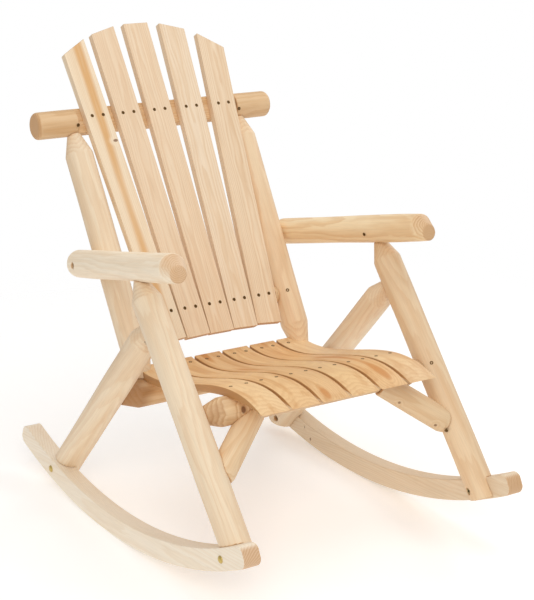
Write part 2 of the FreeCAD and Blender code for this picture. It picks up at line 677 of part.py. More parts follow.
for item in doc.Objects:
    if "Invalid" in item.State or "Error" in item.State:
        raise RuntimeError("%s failed: %s" % (item.Name, item.State))
os.makedirs("parts", exist_ok=True)
for piece in pieces:
    shape = piece.Shape
    if shape.isNull() or not shape.isValid() or not shape.Solids:
        raise RuntimeError("%s has no valid solid" % piece.Label)
for piece in pieces:
    piece.Shape.exportStep("parts/%s.step" % piece.Label)
    print("%-20s %2d solid(s) %9.1f cm3" % (piece.Label, len(piece.Shape.Solids),
                                           piece.Shape.Volume / 1000))
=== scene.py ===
import math

import bmesh
import bpy
import numpy as np
from mathutils import Matrix, Vector, noise


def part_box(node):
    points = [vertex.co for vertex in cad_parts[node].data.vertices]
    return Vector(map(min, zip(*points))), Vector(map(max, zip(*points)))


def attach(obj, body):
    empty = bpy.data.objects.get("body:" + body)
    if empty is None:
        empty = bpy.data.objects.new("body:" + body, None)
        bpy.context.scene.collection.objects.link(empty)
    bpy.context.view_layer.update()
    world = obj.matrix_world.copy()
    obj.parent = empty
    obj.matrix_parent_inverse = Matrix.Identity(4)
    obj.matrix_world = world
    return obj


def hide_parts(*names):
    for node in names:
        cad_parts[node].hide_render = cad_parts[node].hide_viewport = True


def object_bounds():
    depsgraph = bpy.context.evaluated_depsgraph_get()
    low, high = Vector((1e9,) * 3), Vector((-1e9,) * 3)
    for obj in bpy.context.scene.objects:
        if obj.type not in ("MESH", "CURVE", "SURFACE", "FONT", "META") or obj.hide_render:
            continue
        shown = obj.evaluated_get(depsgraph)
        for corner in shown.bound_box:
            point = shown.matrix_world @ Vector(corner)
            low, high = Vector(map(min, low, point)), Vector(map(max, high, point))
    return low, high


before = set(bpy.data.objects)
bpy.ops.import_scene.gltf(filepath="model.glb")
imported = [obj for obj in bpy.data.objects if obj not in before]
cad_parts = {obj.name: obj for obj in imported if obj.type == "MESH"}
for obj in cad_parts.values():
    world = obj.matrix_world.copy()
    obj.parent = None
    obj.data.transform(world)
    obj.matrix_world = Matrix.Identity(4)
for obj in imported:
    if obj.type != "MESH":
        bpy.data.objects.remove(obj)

cad_box = [list(corner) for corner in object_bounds()]

# ------------------------------------------------------------------ catalogue studio
# The chair stands on white paper.  A large soft lamp near the lens lights its front, one behind on
# the right draws a bright edge, one above lights the seat, and the paper is overlit to near white.


def linear(hex_colour):
    """The shader's linear colour for an sRGB hex value."""
    parts = [int(hex_colour[i:i + 2], 16) / 255 for i in (1, 3, 5)]
    return [c / 12.92 if c <= 0.04045 else ((c + 0.055) / 1.055) ** 2.4 for c in parts] + [1.0]


def add(tree, kind, inputs=None, **settings):
    """A shader node with its settings; each input is given a value or linked to a socket."""
    made = tree.nodes.new(kind)
    for key, value in settings.items():
        setattr(made, key, value)
    for key, value in (inputs or {}).items():
        if isinstance(value, bpy.types.NodeSocket):
            tree.links.new(value, made.inputs[key])
        else:
            made.inputs[key].default_value = value
    return made


scene = bpy.context.scene
scene.view_settings.view_transform = "Standard"
scene.view_settings.look = "None"

# The surround is white to the lens and gives the chair only a soft grey fill.
surround = bpy.data.worlds.new("white_surround")
surround.use_nodes = True
sky = surround.node_tree
seen = add(sky, "ShaderNodeLightPath").outputs["Is Camera Ray"]
glow = add(sky, "ShaderNodeMapRange", {"Value": seen, "To Min": 0.6, "To Max": 1.0}).outputs[0]
sky.nodes["Background"].inputs["Color"].default_value = linear("#FFFFFF")
sky.links.new(glow, sky.nodes["Background"].inputs["Strength"])
scene.world = surround

# The paper is a clean matt white that fades into the surround a few paces from the chair.
sweep_paper = bpy.data.materials.new("white_sweep_paper")
sweep_paper.use_nodes = True
paper_tree = sweep_paper.node_tree
paper = paper_tree.nodes["Principled BSDF"]
paper.inputs["Base Color"].default_value = linear("#F1F0EF")
paper.inputs["Roughness"].default_value = 0.9
paper.inputs["Specular IOR Level"].default_value = 0.1
paper.inputs["Emission Color"].default_value = linear("#FFFFFF")
paper.inputs["Emission Strength"].default_value = 0.27
paper_spot = add(paper_tree, "ShaderNodeTexCoord").outputs["Object"]
paces = add(paper_tree, "ShaderNodeVectorMath", {0: paper_spot}, operation="LENGTH").outputs["Value"]
fade = add(paper_tree, "ShaderNodeMapRange", {"Value": paces, "From Min": 2.0, "From Max": 0.75},
           interpolation_type="SMOOTHSTEP").outputs[0]
paper_tree.links.new(fade, paper.inputs["Alpha"])

sweep_half = 2.2
sweep_mesh = bpy.data.meshes.new("sweep")
sweep_mesh.from_pydata([(x * sweep_half, y * sweep_half, 0) for x, y in
                        ((-1, -1), (1, -1), (1, 1), (-1, 1))], [], [(0, 1, 2, 3)])
sweep = bpy.data.objects.new("floor_sweep", sweep_mesh)
sweep.data.materials.append(sweep_paper)
scene.collection.objects.link(sweep)

chair_middle = (Vector(cad_box[0]) + Vector(cad_box[1])) / 2


def softbox(name, direction, distance, size, power, tint):
    """A square area lamp aimed at the middle of the chair."""
    lamp = bpy.data.lights.new(name, "AREA")
    lamp.size = size
    lamp.energy = power
    lamp.color = linear(tint)[:3]
    holder = bpy.data.objects.new(name, lamp)
    holder.location = chair_middle + Vector(direction).normalized() * distance
    holder.rotation_euler = Vector(direction).to_track_quat("Z", "Y").to_euler()
    scene.collection.objects.link(holder)


softbox("key_softbox", (-0.62, -0.85, 0.62), 3.6, 1.6, 34, "#FFFBF4")
softbox("rim_softbox", (0.95, 0.25, 0.55), 3.2, 1.4, 20, "#FFFFFF")
softbox("top_softbox", (0.1, -0.2, 1.0), 3.2, 2.2, 24, "#FFFFFF")

# Front left three-quarter view from a little above, through a long lens.
camera = bpy.data.objects.new("camera", bpy.data.cameras.new("camera"))
camera.data.lens = 100.3
camera.data.sensor_width = 36
camera_right = Vector((0.8285, -0.5591, 0.0326)).normalized()
camera_up = Vector((0.148, 0.2747, 0.95))
camera_back = camera_right.cross(camera_up).normalized()
camera_up = camera_back.cross(camera_right)
turn = Matrix((camera_right, camera_up, camera_back)).transposed().to_4x4()
camera.matrix_world = Matrix.Translation((-1.9552, -2.9422, 1.6237)) @ turn
scene.collection.objects.link(camera)
scene.camera = camera

# ------------------------------------------------------------------ rockers
# Two arcs bandsawn from pale fir plank, rounded at the ends and sanded.  The legs are bolted to
# their inner faces.  Fir is pale with yearly rings a few millimetres apart: every piece of the
# chair is cut out of its own solid wood, whose rings lie round a pith, so they show as arcs on cut
# ends, as contour lines on tapered tips and as long faint flames along the faces.

FIBRE_MM = 1.3       # width of the finest streak that shows
KNOT_BROWN = "#7A4E2B"
END_TONE = "#D3A676"  # cut fibres drink the oil and darken


def own_frame(node):
    """A piece's own frame from its CAD faces: Z along the grain, X square to its widest face."""
    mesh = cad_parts[node].data
    spread = np.zeros((3, 3))
    for face in mesh.polygons:
        normal = np.array(face.normal)
        spread += face.area * np.outer(normal, normal)
    vectors = np.linalg.eigh(spread)[1]
    z_axis, x_axis = Vector(vectors[:, 0]), Vector(vectors[:, 2])
    if max(z_axis, key=abs) < 0:
        z_axis.negate()
    if max(x_axis, key=abs) < 0:
        x_axis.negate()
    turn = Matrix((x_axis, z_axis.cross(x_axis), z_axis)).transposed()
    spots = [turn.transposed() @ vertex.co for vertex in mesh.vertices]
    low = Vector([min(spot[i] for spot in spots) for i in range(3)])
    high = Vector([max(spot[i] for spot in spots) for i in range(3)])
    return Matrix.Translation(turn @ ((low + high) / 2)) @ turn.to_4x4()


def fir(node, seed, early, late, pith, ring_mm=3.6, ring_strength=0.3, stripe_strength=0.35,
        heart="#DDB07A", heart_radius=0.0, knots=(), rustic=None, end_share=0.75, painted_side_shade=None):
    """Solid fir for one piece, with its grain along the piece's own Z, in its own millimetres.

    Each knot is (x, y, z, radius).  A rustic piece is (share, from): its tips turn brown with
    leftover bark fibre beyond that distance from the middle.  A side shade is a darker colour
    painted on the sawn sides as painted shade, for the shadow in the gaps between boards.
    """
    inside = own_frame(node).inverted()
    aside, turned_by = inside.to_translation(), inside.to_euler()
    wood = bpy.data.materials.new("fir_" + node)
    wood.use_nodes = True
    tree = wood.node_tree
    shader = tree.nodes["Principled BSDF"]
    spot = add(tree, "ShaderNodeTexCoord")
    own = add(tree, "ShaderNodeMapping", {"Vector": spot.outputs["Object"], "Location": aside,
              "Rotation": turned_by}).outputs[0]
    mm = add(tree, "ShaderNodeVectorMath", {0: own, "Scale": 1000.0}, operation="SCALE").outputs[0]

    # The trunk's slow wander carries the rings sideways along the piece.
    drift = add(tree, "ShaderNodeMapping", {"Vector": mm, "Location": (seed * 17.3, seed * 9.1, seed * 5.7),
                "Scale": (1 / 70, 1 / 70, 1 / 360)}).outputs[0]
    sway = add(tree, "ShaderNodeTexNoise", {"Vector": drift, "Scale": 1.0, "Detail": 2.0,
               "Roughness": 0.4}).outputs["Color"]
    sway = add(tree, "ShaderNodeVectorMath", {0: sway, 1: (0.5, 0.5, 0.5)}, operation="SUBTRACT").outputs[0]
    sway = add(tree, "ShaderNodeVectorMath", {0: sway, 1: (14, 14, 0)}, operation="MULTIPLY").outputs[0]
    grown = add(tree, "ShaderNodeVectorMath", {0: mm, 1: sway}, operation="ADD").outputs[0]
    centred = add(tree, "ShaderNodeVectorMath", {0: grown, 1: (pith[0], pith[1], 0)},
                  operation="SUBTRACT").outputs[0]
    across = add(tree, "ShaderNodeVectorMath", {0: centred, 1: (1, 1, 0)}, operation="MULTIPLY").outputs[0]
    radius = add(tree, "ShaderNodeVectorMath", {0: across}, operation="LENGTH").outputs["Value"]

    # Each knot is the root of a branch, turned towards the broad face so that it shows round.  It
    # bends the rings round it and is dark at its heart, the smaller the paler.
    knot_dark = None
    for kx, ky, kz, size in knots:
        branch = Vector((kx - pith[0], (ky - pith[1]) * 0.3, 0)).normalized()
        offset = add(tree, "ShaderNodeVectorMath", {0: grown, 1: (kx, ky, kz)},
                     operation="SUBTRACT").outputs[0]
        beside = add(tree, "ShaderNodeVectorMath", {0: offset, 1: tuple(branch)},
                     operation="CROSS_PRODUCT").outputs[0]
        beside = add(tree, "ShaderNodeVectorMath", {0: beside, 1: (1, 1, 0.75)},
                     operation="MULTIPLY").outputs[0]
        gap = add(tree, "ShaderNodeVectorMath", {0: beside}, operation="LENGTH").outputs["Value"]
        bend = add(tree, "ShaderNodeMapRange", {"Value": gap, "From Min": size * 4.0, "From Max": size * 0.8,
                   "To Min": 0.0, "To Max": size * 1.1}, interpolation_type="SMOOTHSTEP").outputs[0]
        radius = add(tree, "ShaderNodeMath", {0: radius, 1: bend}, operation="ADD").outputs[0]
        core = add(tree, "ShaderNodeMapRange", {"Value": gap, "From Min": size * 1.2, "From Max": size * 0.6,
                   "To Max": min(0.9, size * 0.22)}, interpolation_type="SMOOTHSTEP").outputs[0]
        outward = add(tree, "ShaderNodeVectorMath", {0: centred, 1: tuple(branch)},
                      operation="DOT_PRODUCT").outputs["Value"]
        outward = add(tree, "ShaderNodeMath", {0: outward, 1: 0.0}, operation="GREATER_THAN").outputs[0]
        core = add(tree, "ShaderNodeMath", {0: core, 1: outward}, operation="MULTIPLY").outputs[0]
        knot_dark = core if knot_dark is None else add(
            tree, "ShaderNodeMath", {0: knot_dark, 1: core}, operation="MAXIMUM").outputs[0]

    # Rings: pale spring wood that darkens to a thin summer line, then starts again.
    uneven = add(tree, "ShaderNodeTexNoise", {"Vector": drift, "Scale": 4.0, "Detail": 2.0}).outputs["Fac"]
    phase = add(tree, "ShaderNodeMath", {0: radius, 1: ring_mm}, operation="DIVIDE").outputs[0]
    phase = add(tree, "ShaderNodeMath", {0: uneven, 1: 1.3, 2: phase}, operation="MULTIPLY_ADD").outputs[0]
    year = add(tree, "ShaderNodeMath", {0: phase}, operation="FRACT").outputs[0]
    summer = add(tree, "ShaderNodeMapRange", {"Value": year, "From Min": 0.2, "From Max": 0.85},
                 interpolation_type="SMOOTHSTEP").outputs[0]
    closing = add(tree, "ShaderNodeMapRange", {"Value": year, "From Min": 1.0, "From Max": 0.88},
                  interpolation_type="SMOOTHSTEP").outputs[0]
    ring = add(tree, "ShaderNodeMath", {0: summer, 1: closing}, operation="MULTIPLY").outputs[0]

    # Fibres and stripes: fine streaks, and soft bands a finger wide, that run the piece's length.
    fine = add(tree, "ShaderNodeMapping", {"Vector": grown,
               "Scale": (1 / FIBRE_MM, 1 / FIBRE_MM, 1 / 80)}).outputs[0]
    fibre = add(tree, "ShaderNodeTexNoise", {"Vector": fine, "Scale": 1.0, "Detail": 3.0,
                "Roughness": 0.6}).outputs["Fac"]
    broad = add(tree, "ShaderNodeMapping", {"Vector": grown, "Location": (seed * 3.1, seed * 5.7, seed),
                "Scale": (1 / 17, 1 / 17, 1 / 380)}).outputs[0]
    band = add(tree, "ShaderNodeTexNoise", {"Vector": broad, "Scale": 1.0, "Detail": 2.5}).outputs["Fac"]
    stripe = add(tree, "ShaderNodeMapRange", {"Value": band, "From Min": 0.42, "From Max": 0.78,
                 "To Max": stripe_strength}, interpolation_type="SMOOTHSTEP").outputs[0]

    # Colour: sapwood, warm stripes, honey heartwood round the pith, then the summer lines.
    base = add(tree, "ShaderNodeMix", {"Factor": stripe, 6: linear(early), 7: linear(late)},
               data_type="RGBA").outputs[2]
    if heart_radius:
        honey = add(tree, "ShaderNodeMapRange", {"Value": radius, "From Min": heart_radius * 1.25,
                    "From Max": heart_radius * 0.6, "To Max": 0.9},
                    interpolation_type="SMOOTHSTEP").outputs[0]
        base = add(tree, "ShaderNodeMix", {"Factor": honey, 6: base, 7: linear(heart)},
                   data_type="RGBA").outputs[2]

    # Where a face cuts across the fibres it is darker and its rings show more.
    facing = add(tree, "ShaderNodeMapping", {"Vector": spot.outputs["Normal"],
                 "Rotation": turned_by}).outputs[0]
    facing = add(tree, "ShaderNodeSeparateXYZ", {0: facing})
    sideways = add(tree, "ShaderNodeMath", {0: facing.outputs["Y"]}, operation="ABSOLUTE").outputs[0]
    facing = add(tree, "ShaderNodeMath", {0: facing.outputs["Z"]}, operation="ABSOLUTE").outputs[0]
    cut = add(tree, "ShaderNodeMapRange", {"Value": facing, "From Min": 0.22, "From Max": 0.8},
              interpolation_type="SMOOTHSTEP").outputs[0]
    cut_tone = add(tree, "ShaderNodeMath", {0: cut, 1: end_share}, operation="MULTIPLY").outputs[0]
    base = add(tree, "ShaderNodeMix", {"Factor": cut_tone, 6: base, 7: linear(END_TONE)},
               data_type="RGBA").outputs[2]
    contrast = add(tree, "ShaderNodeMapRange", {"Value": cut, "To Min": ring_strength,
                   "To Max": min(0.6, ring_strength * 1.4)}).outputs[0]
    line = add(tree, "ShaderNodeMath", {0: ring, 1: contrast}, operation="MULTIPLY").outputs[0]
    summer_tone = add(tree, "ShaderNodeMix", {"Factor": cut, 6: linear(late), 7: linear("#B98350")},
                      data_type="RGBA").outputs[2]
    base = add(tree, "ShaderNodeMix", {"Factor": line, 6: base, 7: summer_tone},
               data_type="RGBA").outputs[2]

    # The sawn sides are pulled towards brown: painted shade for the shadow in the gaps between boards.
    if painted_side_shade:
        side_shade_mask = add(tree, "ShaderNodeMapRange", {"Value": sideways, "From Min": 0.6, "From Max": 0.95,
                     "To Max": 0.85}, interpolation_type="SMOOTHSTEP").outputs[0]
        base = add(tree, "ShaderNodeMix", {"Factor": side_shade_mask, 6: base, 7: linear(painted_side_shade)},
                   data_type="RGBA").outputs[2]
    if rustic:
        share, start = rustic
        along = add(tree, "ShaderNodeSeparateXYZ", {0: mm}).outputs["Z"]
        along = add(tree, "ShaderNodeMath", {0: along}, operation="ABSOLUTE").outputs[0]
        torn = add(tree, "ShaderNodeMath", {0: band, 1: 60.0, 2: along}, operation="MULTIPLY_ADD").outputs[0]
        bark = add(tree, "ShaderNodeMapRange", {"Value": torn, "From Min": start, "From Max": start + 40,
                   "To Max": share}, interpolation_type="SMOOTHSTEP").outputs[0]
        base = add(tree, "ShaderNodeMix", {"Factor": bark, 6: base, 7: linear("#A06E3F")},
                   data_type="RGBA").outputs[2]
    streak = add(tree, "ShaderNodeMapRange", {"Value": fibre, "From Min": 0.3, "From Max": 0.72,
                 "To Min": 1.04, "To Max": 0.92}).outputs[0]
    base = add(tree, "ShaderNodeVectorMath", {0: base, "Scale": streak}, operation="SCALE").outputs[0]
    if knot_dark is not None:
        base = add(tree, "ShaderNodeMix", {"Factor": knot_dark, 6: base, 7: linear(KNOT_BROWN)},
                   data_type="RGBA").outputs[2]
    tree.links.new(base, shader.inputs["Base Color"])

    # Sanded fir has a dull satin shine, and its summer rings stand a hair proud.
    relief = add(tree, "ShaderNodeMath", {0: fibre, 1: 0.7, 2: ring}, operation="MULTIPLY_ADD").outputs[0]
    bump = add(tree, "ShaderNodeBump", {"Height": relief, "Strength": 0.2, "Distance": 0.0005}).outputs[0]
    tree.links.new(bump, shader.inputs["Normal"])
    dull = add(tree, "ShaderNodeMapRange", {"Value": ring, "To Min": 0.58, "To Max": 0.46}).outputs[0]
    tree.links.new(dull, shader.inputs["Roughness"])
    shader.inputs["IOR"].default_value = 1.45
    return wood


def settle(mesh, node, wood):
    """Adds a finished piece, made in the chair's frame, that stands for its CAD node."""
    mesh.materials.append(wood)
    piece = bpy.data.objects.new(node + "_finished", mesh)
    scene.collection.objects.link(piece)
    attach(piece, "root")
    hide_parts(node)
    return piece


def flat_faces(piece):
    """Keeps broad faces flat in the light while their narrow rounded edges shade smoothly."""
    even = piece.modifiers.new("flat_faces", "WEIGHTED_NORMAL")
    even.weight = 100


SOLE_RADIUS = 1.176     # the arc that rolls on the floor; its centre is straight above the origin
ROCKER_DEEP = 0.0465
ROCKER_END_ROUND = 0.018
ROCKER_END_IN = 0.0028      # radians off each end, so that the square ends stay inside the blank
ROCKER_ARRIS = 0.0024


def rocker(node, wood):
    """An arc swept as a rectangle with rounded arrises, drawn in at both rounded ends."""
    low, high = (Vector(corner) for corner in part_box(node))
    spots = [vertex.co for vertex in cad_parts[node].data.vertices]
    angles = [math.atan2(spot.y, SOLE_RADIUS - spot.z) for spot in spots]
    start, end = min(angles) + ROCKER_END_IN, max(angles) - ROCKER_END_IN
    arc_long = (end - start) * SOLE_RADIUS
    near = [ROCKER_END_ROUND * (1 - math.cos(math.radians(a))) for a in range(0, 90, 6)]
    middle = np.linspace(ROCKER_END_ROUND, arc_long - ROCKER_END_ROUND, 110)
    stations = near + list(middle) + [arc_long - d for d in reversed(near)]
    shape = bmesh.new()
    rings = []
    for along in stations:
        to_end = min(along, arc_long - along)
        drawn = max(0.0, ROCKER_END_ROUND - to_end)
        inset = ROCKER_END_ROUND - math.sqrt(ROCKER_END_ROUND ** 2 - drawn ** 2)
        eased = max(0.0, ROCKER_ARRIS - to_end)
        side_in = ROCKER_ARRIS - math.sqrt(ROCKER_ARRIS ** 2 - eased ** 2)
        inner, outer = SOLE_RADIUS - ROCKER_DEEP + inset, SOLE_RADIUS - inset
        angle = start + along / SOLE_RADIUS
        ring = []
        for corner_x, corner_r, quarter in ((high.x - side_in, outer, 0), (low.x + side_in, outer, 1),
                                            (low.x + side_in, inner, 2), (high.x - side_in, inner, 3)):
            centre_x = corner_x - ROCKER_ARRIS * (1 if quarter in (0, 3) else -1)
            centre_r = corner_r - ROCKER_ARRIS * (1 if quarter in (0, 1) else -1)
            for step in range(5):
                bend = math.radians(90 * quarter + 22.5 * step)
                radius = centre_r + ROCKER_ARRIS * math.sin(bend)
                point = Vector((centre_x + ROCKER_ARRIS * math.cos(bend), radius * math.sin(angle),
                                SOLE_RADIUS - radius * math.cos(angle)))
                ring.append(shape.verts.new(point))
        rings.append(ring)
    for before, after in zip(rings, rings[1:]):
        for i in range(len(before)):
            j = (i + 1) % len(before)
            shape.faces.new((before[i], before[j], after[j], after[i]))
    shape.faces.new(rings[0])
    shape.faces.new(list(reversed(rings[-1])))
    bmesh.ops.recalc_face_normals(shape, faces=shape.faces)
    mesh = bpy.data.meshes.new(node + "_arc")
    shape.to_mesh(mesh)
    shape.free()
    mesh.shade_smooth()
    flat_faces(settle(mesh, node, wood))


rocker("rocker_left", fir("rocker_left", 3, "#F6E9D5", "#E6CDAA", (70, 30), ring_mm=4.4,
                          ring_strength=0.3, stripe_strength=0.25, knots=[(15, 8, 40, 3)]))
rocker("rocker_right", fir("rocker_right", 8, "#E9D5B9", "#D6B68C", (64, -36), ring_mm=4.0,
                           ring_strength=0.34, stripe_strength=0.3,
                           knots=[(-19, 34, 238, 3.4), (-19, 8, 262, 2.6)]))

# ------------------------------------------------------------------ peeled logs
# Thin fir trunks, peeled and turned down, with blunt pencil tips where they meet another log.  The
# drawknife leaves them slightly uneven, and every cut edge is sanded soft.

LOG_CELL = 0.0021       # faces small enough to keep the crisp line where a taper starts
LOG_RADIUS = 0.031
UNEVEN = 0.0008         # depth of the drawknife's flats
FLATS_ROUND = 1.7       # how closely the flats follow each other round the log
FLATS_ALONG = 8         # and along it, in flats to the metre
SWELLS_ALONG = 6


def log(node, wood, seed, wave=0.0):
    """A peeled log: the CAD shape rebuilt in small even faces, then worn and made uneven."""
    own = own_frame(node)
    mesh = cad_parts[node].data.copy()
    mesh.transform(own.inverted())
    mesh.materials.clear()
    rough = bpy.data.objects.new(node + "_rough", mesh)
    scene.collection.objects.link(rough)
    cells = rough.modifiers.new("even_faces", "REMESH")
    cells.mode = "VOXEL"
    cells.voxel_size = LOG_CELL
    sanded = rough.modifiers.new("sanded", "SMOOTH")
    sanded.factor = 0.5
    sanded.iterations = 2
    bpy.context.view_layer.update()
    done = bpy.data.meshes.new_from_object(rough.evaluated_get(bpy.context.evaluated_depsgraph_get()))
    bpy.data.objects.remove(rough)
    done.name = node + "_peeled"
    for vertex in done.vertices:
        spot = vertex.co
        around = math.atan2(spot.y, spot.x)
        flats = noise.noise(Vector((math.cos(around) * FLATS_ROUND, math.sin(around) * FLATS_ROUND,
                                    spot.z * FLATS_ALONG + seed)))
        swell = noise.noise(Vector((seed * 3.7, spot.z * SWELLS_ALONG, 0)))
        inward = UNEVEN * (0.3 + flats) - wave * swell
        spot.x -= spot.x / LOG_RADIUS * inward
        spot.y -= spot.y / LOG_RADIUS * inward
    done.transform(own)
    done.shade_smooth()
    settle(done, node, wood)


def toward(node, direction, along, radius=LOG_RADIUS):
    """Own millimetres of a place on a log's side, facing a direction, at a distance along it."""
    side = own_frame(node).to_3x3().inverted() @ Vector(direction)
    side.z = 0
    side = side.normalized() * radius * 1000
    return side.x, side.y, along


FRONT = (-0.55, -0.8, 0.1)          # the sides that the knots face
UNDER = (-0.35, -0.75, -0.55)
PALE = ("#F1DCBE", "#DDB68A")       # outer sapwood: cream with faint honey streaks
TAN = ("#E4C196", "#C9985F")        # an older trunk: evenly tan
BRACE_RADIUS = 0.027

log("front_leg_left", fir("front_leg_left", 11, *PALE, (4, -3)), 1)
log("front_leg_right", fir("front_leg_right", 12, "#EBCFAA", "#D6A876", (-5, 2)), 2)
log("rear_leg_left", fir("rear_leg_left", 13, *PALE, (2, 5), stripe_strength=0.5), 3)
log("rear_leg_right", fir("rear_leg_right", 14, *PALE, (-3, -4)), 4)
log("arm_left", fir("arm_left", 15, "#FFEFD6", "#EAC79A", (6, 2), ring_strength=0.25), 5, wave=0.0008)
log("arm_right", fir("arm_right", 16, "#FCE5BE", "#DFB078", (3, -2), ring_strength=0.45), 6, wave=0.0018)
log("back_post_left", fir("back_post_left", 17, *PALE, (-4, 4)), 7)
log("back_post_right", fir("back_post_right", 18, "#EFD3AE", "#D6A573", (5, -5)), 8)
log("top_rail", fir("top_rail", 19, *TAN, (3, 3), ring_strength=0.35, stripe_strength=0.5,
                    knots=[toward("top_rail", FRONT, 150) + (2.5,)]), 9)
log("lower_back_rail", fir("lower_back_rail", 20, "#E8CBA3", "#CFA06C", (-3, 3)), 10)
log("front_seat_rail", fir("front_seat_rail", 21, "#E9CAA0", "#C08C58", (4, 2), ring_strength=0.55,
    rustic=(0.35, 262), knots=[toward("front_seat_rail", (-0.3, -1, 0.25), -201) + (6,)]), 11)
log("rear_seat_rail", fir("rear_seat_rail", 22, *TAN, (-2, -4), ring_strength=0.5,
                          rustic=(0.75, 230)), 12)
log("knee_brace_left", fir("knee_brace_left", 23, "#EBCFA9", "#D3A26B", (3, -5)), 13)
# The right brace is coloured a little darker: painted shade for the seat's shadow that falls on it.
log("knee_brace_right", fir("knee_brace_right", 24, "#E5C8A1", "#D0A371", (-4, -2),
                            knots=[toward("knee_brace_right", UNDER, -38, BRACE_RADIUS) + (3.2,),
                                   toward("knee_brace_right", UNDER, 58, BRACE_RADIUS) + (3.6,)]), 14)

# ------------------------------------------------------------------ back slats
# Five planed boards fanned out, sawn to an arch at the top, with two screws at each rail.  The
# first has a stripe of honey heartwood and a small knot.


SLAT_ARRIS = 0.0016
WELD = 2e-5             # closes the seams between neighbouring CAD faces
SHARP = math.radians(32)
SCREW_HOLE_FACE = 2.5e-5    # square metres; smaller faces belong to the screw holes


def board(node, wood):
    """A sawn board: the CAD shape with its arrises eased by sandpaper."""
    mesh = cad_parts[node].data.copy()
    mesh.materials.clear()
    shape = bmesh.new()
    shape.from_mesh(mesh)
    bmesh.ops.remove_doubles(shape, verts=shape.verts, dist=WELD)
    bmesh.ops.dissolve_limit(shape, angle_limit=math.radians(0.8), verts=shape.verts, edges=shape.edges)
    arrises = [edge for edge in shape.edges if len(edge.link_faces) == 2
               and edge.calc_face_angle() > SHARP
               and min(face.calc_area() for face in edge.link_faces) > SCREW_HOLE_FACE]
    bmesh.ops.bevel(shape, geom=arrises, offset=SLAT_ARRIS, segments=3, profile=0.5, affect="EDGES",
                    clamp_overlap=False)
    shape.to_mesh(mesh)
    shape.free()
    mesh.shade_smooth()
    flat_faces(settle(mesh, node, wood))


back_woods = (
    fir("back_slat_1", 41, "#F4E0C3", "#E2BE92", (-1, -2), heart="#DCA869", heart_radius=14,
        ring_strength=0.3, knots=[(-9, -19, 114, 3.8)]),
    fir("back_slat_2", 42, "#EFD6B7", "#DCB58C", (-34, -6), ring_strength=0.36),
    fir("back_slat_3", 43, "#EFD6B7", "#DCB387", (-30, 10), ring_strength=0.4),
    fir("back_slat_4", 44, "#F1DBBF", "#DDB88C", (-38, 3), ring_strength=0.42, stripe_strength=0.45),
    fir("back_slat_5", 45, "#F0D8B9", "#D8AF82", (-33, -12), ring_strength=0.42, stripe_strength=0.45),
)
for number, wood in enumerate(back_woods, 1):
    board("back_slat_%d" % number, wood)

# ------------------------------------------------------------------ seat slats
# Six boards bandsawn to a scooped profile and screwed to the two seat rails, from a yellower
# stock than the back.  Their long edges are rounded for comfort, and their sawn sides are
# painted a darker brown as painted shade, which shows as a brown line in every gap.

SEAT_ARRIS = 0.0026
NOSE_SHARE = 0.3        # of the board's thickness there, where it is too thin for the full arris
SEAT_CORNER = math.radians(40)


def scooped(node, wood):
    """A scooped board: its sawn outline carried across the seat and drawn in round at both sides."""
    low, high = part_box(node)
    inner = high[0] if high[0] + low[0] < 0 else low[0]
    shape = bmesh.new()
    shape.from_mesh(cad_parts[node].data)
    bmesh.ops.remove_doubles(shape, verts=shape.verts, dist=WELD)
    bmesh.ops.dissolve_limit(shape, angle_limit=math.radians(0.3), verts=shape.verts, edges=shape.edges)
    flanks = [face for face in shape.faces
              if abs(face.normal.x) > 0.99 and abs(face.calc_center_median().x - inner) < 1e-4]
    flank = max(flanks, key=lambda face: face.calc_area())
    turn = 1 if flank.normal.x > 0 else -1
    outline = [Vector((vert.co.y, vert.co.z)) for vert in flank.verts][::turn]
    shape.free()
    count = len(outline)
    inwards = []
    for i, spot in enumerate(outline):
        along = (outline[(i + 1) % count] - outline[i - 1]).normalized()
        inwards.append(Vector((-along.y, along.x)))
    rooms = []
    for spot, inward in zip(outline, inwards):
        across = [(other - spot).length for other, facing in zip(outline, inwards)
                  if facing.dot(inward) < -0.2]
        rooms.append(min(SEAT_ARRIS, NOSE_SHARE * min(across, default=0.0)))
    shape = bmesh.new()
    quarter = [math.radians(a) for a in (0, 22.5, 45, 67.5, 90)]
    steps = [(low[0] + SEAT_ARRIS * (1 - math.cos(a)), 1 - math.sin(a)) for a in quarter]
    steps += [(high[0] - SEAT_ARRIS * (1 - math.cos(a)), 1 - math.sin(a)) for a in reversed(quarter)]
    rings = []
    for across, drawn in steps:
        rings.append([shape.verts.new((across, *(spot + inward * (room * drawn))))
                      for spot, inward, room in zip(outline, inwards, rooms)])
    for before, after in zip(rings, rings[1:]):
        for i in range(count):
            j = (i + 1) % count
            shape.faces.new((before[i], before[j], after[j], after[i]))
    shape.faces.new(rings[0])
    shape.faces.new(list(reversed(rings[-1])))
    bmesh.ops.recalc_face_normals(shape, faces=shape.faces)
    for edge in shape.edges:
        edge.smooth = edge.calc_face_angle(0.0) < SEAT_CORNER
    mesh = bpy.data.meshes.new(node + "_scooped")
    shape.to_mesh(mesh)
    shape.free()
    mesh.shade_smooth()
    settle(mesh, node, wood)


